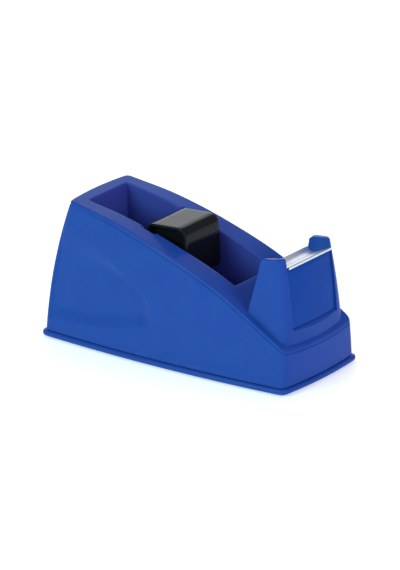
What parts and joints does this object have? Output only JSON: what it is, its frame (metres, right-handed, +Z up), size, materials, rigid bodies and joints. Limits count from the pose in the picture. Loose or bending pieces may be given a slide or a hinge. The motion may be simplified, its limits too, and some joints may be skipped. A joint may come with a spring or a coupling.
{
  "type": "desktop tape dispenser",
  "caption": "Weighted desktop dispenser: tape on the black hub in the open well is pulled over a toothed steel blade and torn off.",
  "frame": {"origin": "on the table, under the middle of the base", "axes": "+X towards the cutter end, +Y to the left of it, +Z up"},
  "size_m": [0.122, 0.0568, 0.0582],
  "materials": {
    "housing_blue": "glossy moulded blue ABS",
    "carrier_blue": "satin moulded blue ABS",
    "hub_black": "glossy black polystyrene",
    "blade_steel": "cold rolled steel strip",
    "ballast_steel": "rough cast block",
    "screw_steel": "zinc plated",
    "foot_rubber": "matt black rubber"
  },
  "bodies": {
    "housing": {"body_shell": "housing_blue", "base_plate": "housing_blue", "cutter_carrier": "carrier_blue", "cutter_blade": "blade_steel", "ballast_front": "ballast_steel", "ballast_screw_front": "screw_steel", "ballast_rear": "ballast_steel", "ballast_screw_rear": "screw_steel", "base_screw_front_left": "screw_steel", "foot_front_left": "foot_rubber", "base_screw_front_right": "screw_steel", "foot_front_right": "foot_rubber", "base_screw_rear_left": "screw_steel", "foot_rear_left": "foot_rubber", "base_screw_rear_right": "screw_steel", "foot_rear_right": "foot_rubber", "carrier_screw_left": "screw_steel", "carrier_screw_right": "screw_steel"},
    "spindle": {"hub_axle": "hub_black"},
    "hub": {"hub_half_left": "hub_black", "hub_half_right": "hub_black"}
  },
  "joints": [
    {"name": "hub_lift", "type": "slide", "parent": "housing", "child": "spindle", "axis": [-0.6442, 0, 0.7648], "range_m": [0, 0.032]},
    {"name": "hub_spin", "type": "hinge", "parent": "spindle", "child": "hub", "pos_m": [-0.0078, 0, 0.0424], "axis": [0, 1, 0], "continuous": true}
  ]
}
